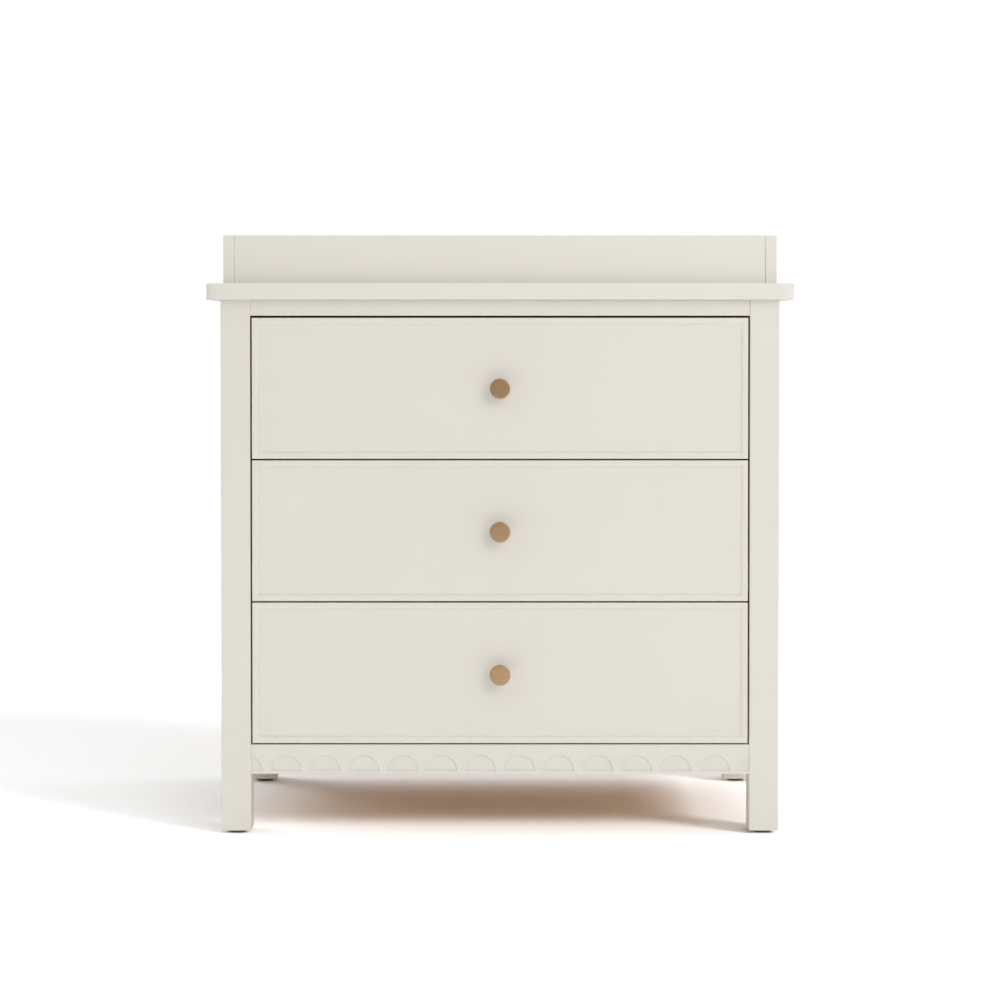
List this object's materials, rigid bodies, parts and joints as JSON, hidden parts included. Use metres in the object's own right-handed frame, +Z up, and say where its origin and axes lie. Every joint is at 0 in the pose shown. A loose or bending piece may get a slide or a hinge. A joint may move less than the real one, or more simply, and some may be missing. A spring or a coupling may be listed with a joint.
{
  "type": "changing table",
  "caption": "Dresser with stacked sliding drawers on square legs, a scalloped apron and a raised changing tray on the top.",
  "frame": {"origin": "on the floor, in the middle of the object's width and depth", "axes": "+Z up, the drawers open towards -Y, X runs along the width"},
  "size_m": [0.912, 0.499, 0.931],
  "materials": {
    "off_white_paint": "satin off-white paint on wood",
    "drawer_wood": "clear-sealed light wood",
    "plywood": "raw tan plywood",
    "champagne_bronze": "brushed champagne bronze",
    "zinc_steel": "zinc-plated steel",
    "bright_steel": "bright steel balls in pressed cages",
    "glide_plastic": "dark nylon"
  },
  "bodies": {
    "case": {"top_panel": "off_white_paint", "front_left_leg": "off_white_paint", "front_right_leg": "off_white_paint", "rear_left_leg": "off_white_paint", "rear_right_leg": "off_white_paint", "left_side_panel": "off_white_paint", "right_side_panel": "off_white_paint", "front_top_rail": "off_white_paint", "rear_top_rail": "off_white_paint", "scalloped_apron": "off_white_paint", "rear_bottom_rail": "off_white_paint", "bottom_panel": "plywood", "back_panel": "plywood", "foot_glides": "glide_plastic", "slide_cleats": "drawer_wood", "slide_outer_members": "zinc_steel", "wood_screws": "zinc_steel", "top_screws": "zinc_steel", "cam_fittings": "zinc_steel", "dowels": "drawer_wood", "tray_left_board": "off_white_paint", "tray_right_board": "off_white_paint", "tray_front_board": "off_white_paint", "tray_back_board": "off_white_paint", "tray_bottom_panel": "off_white_paint", "tray_plates": "zinc_steel", "strap_loops": "zinc_steel"},
    "drawer_1": {"drawer_1_front": "off_white_paint", "drawer_1_left_side": "drawer_wood", "drawer_1_right_side": "drawer_wood", "drawer_1_back": "drawer_wood", "drawer_1_bottom": "plywood", "drawer_1_knob": "champagne_bronze", "drawer_1_fasteners": "zinc_steel", "drawer_1_slide_inner_members": "zinc_steel"},
    "drawer_1_middles": {"drawer_1_slide_middle_members": "zinc_steel"},
    "drawer_1_outer_cages": {"drawer_1_outer_ball_cages": "bright_steel"},
    "drawer_1_inner_cages": {"drawer_1_inner_ball_cages": "bright_steel"},
    "drawer_2": {"drawer_2_front": "off_white_paint", "drawer_2_left_side": "drawer_wood", "drawer_2_right_side": "drawer_wood", "drawer_2_back": "drawer_wood", "drawer_2_bottom": "plywood", "drawer_2_knob": "champagne_bronze", "drawer_2_fasteners": "zinc_steel", "drawer_2_slide_inner_members": "zinc_steel"},
    "drawer_2_middles": {"drawer_2_slide_middle_members": "zinc_steel"},
    "drawer_2_outer_cages": {"drawer_2_outer_ball_cages": "bright_steel"},
    "drawer_2_inner_cages": {"drawer_2_inner_ball_cages": "bright_steel"},
    "drawer_3": {"drawer_3_front": "off_white_paint", "drawer_3_left_side": "drawer_wood", "drawer_3_right_side": "drawer_wood", "drawer_3_back": "drawer_wood", "drawer_3_bottom": "plywood", "drawer_3_knob": "champagne_bronze", "drawer_3_fasteners": "zinc_steel", "drawer_3_slide_inner_members": "zinc_steel"},
    "drawer_3_middles": {"drawer_3_slide_middle_members": "zinc_steel"},
    "drawer_3_outer_cages": {"drawer_3_outer_ball_cages": "bright_steel"},
    "drawer_3_inner_cages": {"drawer_3_inner_ball_cages": "bright_steel"}
  },
  "joints": [
    {"name": "drawer_1_slide", "type": "slide", "parent": "case", "child": "drawer_1", "axis": [0, -1, 0], "range_m": [0, 0.38]},
    {"name": "drawer_1_middles_slide", "type": "slide", "parent": "case", "child": "drawer_1_middles", "axis": [0, -1, 0], "range_m": [0, 0.1905]},
    {"name": "drawer_1_outer_cages_slide", "type": "slide", "parent": "case", "child": "drawer_1_outer_cages", "axis": [0, -1, 0], "range_m": [0, 0.0955]},
    {"name": "drawer_1_inner_cages_slide", "type": "slide", "parent": "case", "child": "drawer_1_inner_cages", "axis": [0, -1, 0], "range_m": [0, 0.2855]},
    {"name": "drawer_2_slide", "type": "slide", "parent": "case", "child": "drawer_2", "axis": [0, -1, 0], "range_m": [0, 0.38]},
    {"name": "drawer_2_middles_slide", "type": "slide", "parent": "case", "child": "drawer_2_middles", "axis": [0, -1, 0], "range_m": [0, 0.1905]},
    {"name": "drawer_2_outer_cages_slide", "type": "slide", "parent": "case", "child": "drawer_2_outer_cages", "axis": [0, -1, 0], "range_m": [0, 0.0955]},
    {"name": "drawer_2_inner_cages_slide", "type": "slide", "parent": "case", "child": "drawer_2_inner_cages", "axis": [0, -1, 0], "range_m": [0, 0.2855]},
    {"name": "drawer_3_slide", "type": "slide", "parent": "case", "child": "drawer_3", "axis": [0, -1, 0], "range_m": [0, 0.38]},
    {"name": "drawer_3_middles_slide", "type": "slide", "parent": "case", "child": "drawer_3_middles", "axis": [0, -1, 0], "range_m": [0, 0.1905]},
    {"name": "drawer_3_outer_cages_slide", "type": "slide", "parent": "case", "child": "drawer_3_outer_cages", "axis": [0, -1, 0], "range_m": [0, 0.0955]},
    {"name": "drawer_3_inner_cages_slide", "type": "slide", "parent": "case", "child": "drawer_3_inner_cages", "axis": [0, -1, 0], "range_m": [0, 0.2855]}
  ],
  "couplings": [
    {"joint": "drawer_1_middles_slide", "follows": "drawer_1_slide", "ratio": 0.5},
    {"joint": "drawer_1_outer_cages_slide", "follows": "drawer_1_slide", "ratio": 0.25},
    {"joint": "drawer_1_inner_cages_slide", "follows": "drawer_1_slide", "ratio": 0.75},
    {"joint": "drawer_2_middles_slide", "follows": "drawer_2_slide", "ratio": 0.5},
    {"joint": "drawer_2_outer_cages_slide", "follows": "drawer_2_slide", "ratio": 0.25},
    {"joint": "drawer_2_inner_cages_slide", "follows": "drawer_2_slide", "ratio": 0.75},
    {"joint": "drawer_3_middles_slide", "follows": "drawer_3_slide", "ratio": 0.5},
    {"joint": "drawer_3_outer_cages_slide", "follows": "drawer_3_slide", "ratio": 0.25},
    {"joint": "drawer_3_inner_cages_slide", "follows": "drawer_3_slide", "ratio": 0.75}
  ]
}
